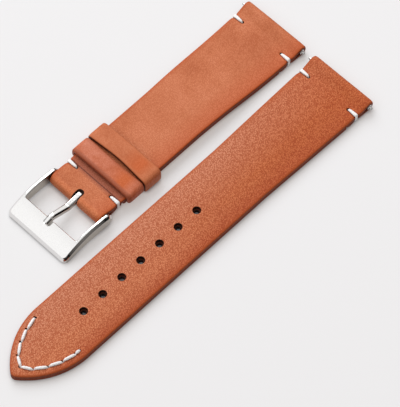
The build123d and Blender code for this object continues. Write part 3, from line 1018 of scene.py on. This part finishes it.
lining_traits = {
    "slot": "lining_leather",
    "grain_round": 0.3,
    "flesh_round": 0.08,
    "shoulder_drop": 0.04,
    "waviness": 0.0,
}
lining_path = Path(line((tip_x, 0), (lug_flap_x, 0)))
lining_s = distance_from(tip_x)
lining_end = lining_path.length
edges = long_edges(lining_path, long_half_width, lining_s(ogive_x), lining_end - lining_corner)
lug_cut = end_cut(lining_end, long_half_width(lug_flap_x), -1, lining_round)
sheet_piece(
    "long_lining", lining_look, "long_strap",
    joined(lug_cut, edges[1], tip_outline(lining_s)[::-1], edges[0]),
    [(circle((lining_s(x), 0), lining_hole_radius, hole_points), lining_hole_rim) for x in tongue_holes]
    + tip_cuts(lining_s, -1),
    lining_path,
    even(glued_leather),
    along_strap(long_y),
    seed=5,
    stitches=on_pattern(tip_lines, lining_s, lining_groove),
    **lining_traits,
)

# Short piece
short_path = Path(
    lug_turn,
    line((lug_rise_x, strap_thickness), (rise_low_x, strap_thickness)),
    wave((rise_low_x, strap_thickness), (rise_high_x, strap_top), 0.5),
    line((rise_high_x, strap_top), (fold_rise_x, strap_top)),
    wave((fold_rise_x, strap_top), (buckle_bar[0], table_gap + 2 * fold_nose)),
    arc(buckle_bar, fold_nose, 90, 270),
    wave((buckle_bar[0], table_gap), (fold_rise_x, strap_lift)),
    line((fold_rise_x, strap_lift), (fold_flap_x, strap_lift)),
)


def short_top_s(x):
    """Distance along the short piece's top at x."""
    return short_path.where(x, True)


def short_outer_thickness(s):
    """Skived at both folds and full along the strap."""
    fold_crest_s = short_top_s(buckle_bar[0])
    fold_foot_s = fold_crest_s + pi * fold_nose
    places = [fold_crest_s - fold_rise_length, fold_crest_s, fold_foot_s, fold_foot_s + fold_rise_length]
    leathers = [outer_leather] + [fold_skived_leather] * 2 + [glued_leather]
    return np.interp(s, lug_places + places, lug_leathers + leathers)


short_end = short_path.length
slot_half = slot_width / 2
slot_from = short_top_s(slot_end_x) + slot_half
slot_to = short_end - (fold_flap_x - slot_end_x) - slot_half
slot_loop = joined(
    arc((slot_from, 0), slot_half, 90, 270, 0.2),
    line((slot_from, -slot_half), (slot_to, -slot_half), 0.3),
    arc((slot_to, 0), slot_half, -90, 90, 0.2),
    line((slot_to, slot_half), (slot_from, slot_half), 0.3),
)
slot_loop = clean(slot_loop)[::-1]
edges = long_edges(short_path, short_half_width, flap_corner, short_end - flap_corner)
lug_cut = end_cut(0, short_half_width(lug_flap_x), 1)
fold_cut = end_cut(short_end, short_half_width(fold_flap_x - flap_corner), -1)
short_flap_s = distance_from(lug_flap_x)
sheet_piece(
    "short_outer_leather", short_tan, "short_strap",
    joined(lug_cut, edges[0], fold_cut, edges[1]),
    [(slot_loop, hole_rim)]
    + awl_holes(lug_tack_x, short_top_s)
    + awl_holes(fold_tack_x, short_top_s)
    + awl_holes(lug_tack_x, short_flap_s),
    short_path,
    short_outer_thickness,
    along_strap(short_y),
    seed=8,
    stitches=on_pattern(lug_tacks + fold_tacks, short_top_s)
    + on_pattern(lug_tacks, short_flap_s, under_groove),
    grain_round=0.34,
    shoulder_drop=0.1,
)

short_lining_path = Path(
    line((fold_flap_x, strap_lift), (rise_high_x, strap_lift)),
    wave((rise_high_x, strap_lift), (rise_low_x, 0), 0.5),
    line((rise_low_x, 0), (lug_flap_x, 0)),
)
lining_end = short_lining_path.length
edges = long_edges(short_lining_path, short_half_width, lining_corner, lining_end - lining_corner)
fold_cut = end_cut(0, short_half_width(fold_flap_x), 1, lining_round)
lug_cut = end_cut(lining_end, short_half_width(lug_flap_x), -1, lining_round)
sheet_piece(
    "short_lining", lining_look, "short_strap",
    joined(fold_cut, edges[0], lug_cut, edges[1]),
    [],
    short_lining_path,
    even(glued_leather),
    along_strap(short_y),
    seed=9,
    **lining_traits,
)

# Keepers: a strip that goes round the strap
keeper_half = (floating_high[1] - floating_low[1]) / 2
keeper_top = floating_high[2]


def strip_outline(length, front_bow=0.0, rear_bow=0.0):
    """A strip with its corners eased, and its long edges drawn in over the middle of the strap."""
    half = keeper_width / 2
    s = np.arange(flap_round, length - flap_round, 0.4)
    over = (1 + np.cos(pi * np.clip(np.abs(s - length / 2) / keeper_half, 0, 1))) / 2
    from_end = np.clip((np.minimum(s, length - s) - flap_round) / 4, 0, 1)
    bow = over - (1 - np.cos(pi * from_end)) / 4
    return joined(
        end_cut(0, half, 1),
        np.stack([s, half - rear_bow * bow], axis=1),
        end_cut(length, half, -1),
        np.stack([s, front_bow * bow - half], axis=1)[::-1],
    )


def keeper_path(low_z, corner, end_y):
    """From end_y beside the strap's middle, over the top and back to the middle's other side."""
    left, right = short_y - keeper_half, short_y + keeper_half
    bend_z = low_z + corner
    crown_radius = (keeper_half**2 + keeper_crown**2) / (2 * keeper_crown)
    crown_z = keeper_top - crown_radius
    reach = keeper_half - keeper_shoulder_round
    angle = np.degrees(asin(reach / crown_radius))
    shoulder_z = crown_z + sqrt(crown_radius**2 - reach**2) - keeper_shoulder_round
    return Path(
        line((short_y + end_y, low_z), (right - corner, low_z)),
        arc((right - corner, bend_z), corner, -90, 0),
        line((right, bend_z), (right, shoulder_z)),
        arc((short_y + reach, shoulder_z), keeper_shoulder_round, 0, 90 - angle),
        arc((short_y, crown_z), crown_radius, 90 - angle, 90 + angle, 0.4),
        arc((short_y - reach, shoulder_z), keeper_shoulder_round, 90 + angle, 180),
        line((left, shoulder_z), (left, bend_z)),
        arc((left + corner, bend_z), corner, 180, 270),
        line((left + corner, low_z), (short_y - end_y, low_z)),
    )


floating_path = keeper_path(table_gap, keeper_lower_round, keeper_seam / 2)
sheet_piece(
    "floating_keeper", loop_tan, "sliding_keeper",
    strip_outline(floating_path.length, front_bow=0.45),
    [],
    floating_path,
    even(keeper_leather),
    across_strap("floating_keeper"),
    seed=12,
    grain_round=0.3,
    flesh_round=0.15,
    shoulder=1.0,
    shoulder_drop=0.08,
    spacing=0.7,
)

tab_end = tail_width / 2 - tab_length
tab_run = keeper_half - tab_corner - tab_end
fixed_path = keeper_path(fixed_low[2], tab_corner, tab_end)


def fixed_thickness(s):
    """The keeper's ends are thinned where they go into the strap."""
    last = fixed_path.length
    full = tab_run + tab_slope
    places = [0, tab_run, full, last - full, last - tab_run, last]
    values = [tab_leather] * 2 + [keeper_leather] * 2 + [tab_leather] * 2
    return np.interp(s, places, values)


sheet_piece(
    "fixed_keeper", keeper_tan, "short_strap",
    strip_outline(fixed_path.length, rear_bow=0.25),
    [],
    fixed_path,
    fixed_thickness,
    across_strap("fixed_keeper"),
    seed=14,
    flesh_round=0.15,
    shoulder=1.2,
    shoulder_drop=0.12,
    spacing=0.7,
)


# Stitches as thread
stitch_slant = 0.12
entry_share = 0.04
over_shares = (0.07, 0.11, 0.22, 0.5, 0.78, 0.89, 0.93)
over_lifts = (-0.7, -0.12, 0.16, 0.2, 0.16, -0.12, -0.7)
under_shares = (0.92, 0.5, 0.08)
tack_spread = 0.06
tack_overhang = 0.2
tack_top = ((0.6, 0.04, -0.2), (1, 0.2, 0.06), (1, 0.6, 0.1), (1, 0.9, 0.04))
tack_bend_drop = 0.35
tack_bend_rise = 0.4
tack_under_shares = (0.9, 0.5, 0.12)
tack_inner_part = 0.4
fold_thread_gap = 0.1


def through_stitch(start, end, centre_y, top_z, low_z):
    """One stitch of a row: over the leather, down its cuts and under it."""
    sideways = left_of(np.subtract(end, start))
    if sideways[1] < 0:
        sideways = -sideways
    start = start + stitch_slant * sideways
    end = end - stitch_slant * sideways
    run = end - start
    middle_z = (top_z + low_z) / 2
    top = [(*(start + run * share), top_z + lift) for share, lift in zip(over_shares, over_lifts)]
    under = [(*(start + run * share), low_z) for share in under_shares]
    entry = [(*(start + run * entry_share), middle_z)]
    leave = [(*(end - run * entry_share), middle_z)]
    return smooth_run(entry + top + leave + under + entry) + (0, centre_y, 0)


def tack_stitch(hole, edge, centre_y, top_z, low_z):
    """One stitch of a tack: from its hole over the edge, down it and back underneath."""
    run = np.subtract(edge, hole)
    spread = np.array([tack_spread * np.sign(run[0]), 0])
    corner = edge - np.array([0, tack_overhang * np.sign(edge[1])])
    middle_z = (top_z + low_z) / 2
    top = [(*(hole + spread * part + run * share), top_z + lift) for part, share, lift in tack_top]
    over = [(*corner, z) for z in (top_z - tack_bend_drop, middle_z, low_z + tack_bend_rise)]
    under = [(*(hole + spread + run * share), low_z) for share in tack_under_shares]
    inner = [(*(hole + spread * tack_inner_part), middle_z)]
    return smooth_run(inner + top + over + under + inner) + (0, centre_y, 0)


tip_runs = [through_stitch(*ends, long_y, strap_thickness, thread_radius) for ends in tip_lines]
thread_piece("long_tip_stitch", tip_runs, "long_strap")
for side, centre_y in (("long", long_y), ("short", short_y)):
    runs = [tack_stitch(*ends, centre_y, strap_thickness, thread_radius) for ends in lug_tacks]
    thread_piece(f"{side}_lug_stitches", runs, f"{side}_strap", tack_thread_radius)
fold_low = strap_lift - fold_thread_gap
fold_runs = [tack_stitch(*ends, short_y, strap_top, fold_low) for ends in fold_tacks]
thread_piece("short_buckle_stitches", fold_runs, "short_strap", tack_thread_radius)

# Springs in the bars: each is made in two halves, from the middle of the bar to each pin
spring_wire_radius = 0.1
turns_per_half = 3
points_per_turn = 24


def half_spring(bar, body, side, end_name):
    """Half of a bar's spring, from the middle of the bar to one pin."""
    name = f"{bar}_spring_{end_name}"
    low, high = corners_mm(f"{bar}_spring")
    middle = (low + high) / 2
    coil_radius = (high[0] - low[0]) / 2 - spring_wire_radius
    half_length = (high[1] - low[1]) / 2
    share = side * np.linspace(0, 1, points_per_turn * turns_per_half)
    turn = share * 2 * pi * turns_per_half
    along = share * (half_length - spring_wire_radius)
    run = middle + np.stack([coil_radius * np.cos(turn), along, coil_radius * np.sin(turn)], axis=1)
    piece = finished_object(name, thread_mesh(name, [run], spring_wire_radius, twisted=False))
    dress(piece, spring_steel, "spring_steel", body, f"{bar}_spring")
    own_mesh(piece)


for bar, body in (("long_bar", "long_strap"), ("short_bar", "short_strap"), ("buckle_bar", "buckle")):
    half_spring(bar, body, 1, "left")
    half_spring(bar, body, -1, "right")

# Steel parts keep their construction shape and get their finish
edge_breaks = {"buckle_frame": 0.2, "buckle_tongue": 0.16}
weld_distance = 0.002
for name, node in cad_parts.items():
    if name not in edge_breaks and ("_bar_" not in name or name.endswith("_spring")):
        continue
    node.data.materials.clear()
    node.data.materials.append(polished_steel if name in edge_breaks else bar_steel)
    node.modifiers.new("one skin", "WELD").merge_threshold = weld_distance * METRE
    if name in edge_breaks:
        eased = node.modifiers.new("eased edges", "BEVEL")
        eased.width = edge_breaks[name] * METRE
        eased.segments = 3
        eased.limit_method = "ANGLE"
        eased.angle_limit = radians(22)
        eased.harden_normals = True
    node.modifiers.new("even normals", "WEIGHTED_NORMAL").keep_sharp = True

# Table, with a painted glow that lightens the shadows on it, dimmed as painted shade under the strap and
# close to it
table_half = 3.0
table_corners = [(x * table_half, y * table_half, 0) for x, y in ((-1, -1), (1, -1), (1, 1), (-1, 1))]
table_mesh = bpy.data.meshes.new("table")
table_mesh.from_pydata(table_corners, [], [(0, 1, 2, 3)])
floor = new_object("table", table_mesh)
table_material, table_tree, table_surface = new_material("pale table")
# Painted shade: the glow fades where the strap closes the table in
open_share = add_node(table_tree, "AmbientOcclusion", {"Distance": 1.6 * METRE}).outputs["AO"]
painted_glow_range = {"Value": open_share, "From Min": 0.28, "From Max": 0.8}
table_look = {
    "Base Color": (0.494, 0.506, 0.53, 1),
    "Emission Color": (0.343, 0.321, 0.303, 1),
    "Emission Strength": add_node(table_tree, "MapRange", painted_glow_range).outputs["Result"],
    "Roughness": 0.7,
    "Specular IOR Level": 0.2,
}
feed(table_tree, table_surface, table_look)
table_mesh.materials.append(table_material)


# Lights
def area_light(name, place, size, power, colour=(1, 1, 1)):
    """A soft square box at a place, turned to the strap."""
    data = bpy.data.lights.new(name, "AREA")
    data.shape = "RECTANGLE"
    data.size, data.size_y = size, size
    data.energy = power
    data.color = colour
    lamp = new_object(name, data)
    lamp.location = place
    lamp.rotation_euler = (-Vector(place)).to_track_quat("-Z", "Y").to_euler()


area_light("key", (0.40, 0.72, 0.79), size=0.90, power=9.0, colour=(0.99, 0.995, 1.0))
area_light("side card", (0.76, 0.35, 0.60), size=0.40, power=0.30)

# The room: brightest overhead and behind the strap on the left, dim opposite, dark along the horizon
bright_side = (-0.44, 0.52, 0.73)
room_stops = [
    (0.40, (0.28, 0.262, 0.245)),
    (0.62, (0.52, 0.50, 0.48)),
    (0.80, (0.76, 0.755, 0.75)),
    *grey((0.92, 0.86), (1.0, 1.16)),
]
horizon_stops = grey((0.25, 0.03), (0.50, 1.0))
world = bpy.data.worlds.new("studio")
world.use_nodes = True
room = world.node_tree
direction = add_node(room, "TexCoord", {}).outputs["Generated"]
vectors = {0: direction, 1: bright_side}
facing = add_node(room, "VectorMath", vectors, operation="DOT_PRODUCT").outputs["Value"]
share = add_node(room, "MapRange", {"Value": facing, "From Min": -1.0}).outputs["Result"]
upward = add_node(room, "SeparateXYZ", {0: direction}).outputs["Z"]
sky = mixed(room, "MULTIPLY", 1.0, ramp(room, share, room_stops), ramp(room, upward, horizon_stops))
feed(room, room.nodes["Background"], {"Color": sky, "Strength": 1.03})
bpy.context.scene.world = world
bpy.context.scene.view_settings.view_transform = "Standard"

# Camera
camera_data = bpy.data.cameras.new("camera")
camera_data.sensor_width = 36.0
camera_data.lens = focal_pixels / photo_longer_side * camera_data.sensor_width
camera_data.clip_end = 10
camera = new_object("camera", camera_data)
level = cos(camera_elevation)
back = Vector((sin(camera_azimuth) * level, -cos(camera_azimuth) * level, sin(camera_elevation)))
target = Vector((*camera_target, 0)) * METRE
camera.location = target + back * camera_distance * METRE
camera.rotation_euler = back.to_track_quat("Z", "Y").to_euler()
bpy.context.scene.camera = camera
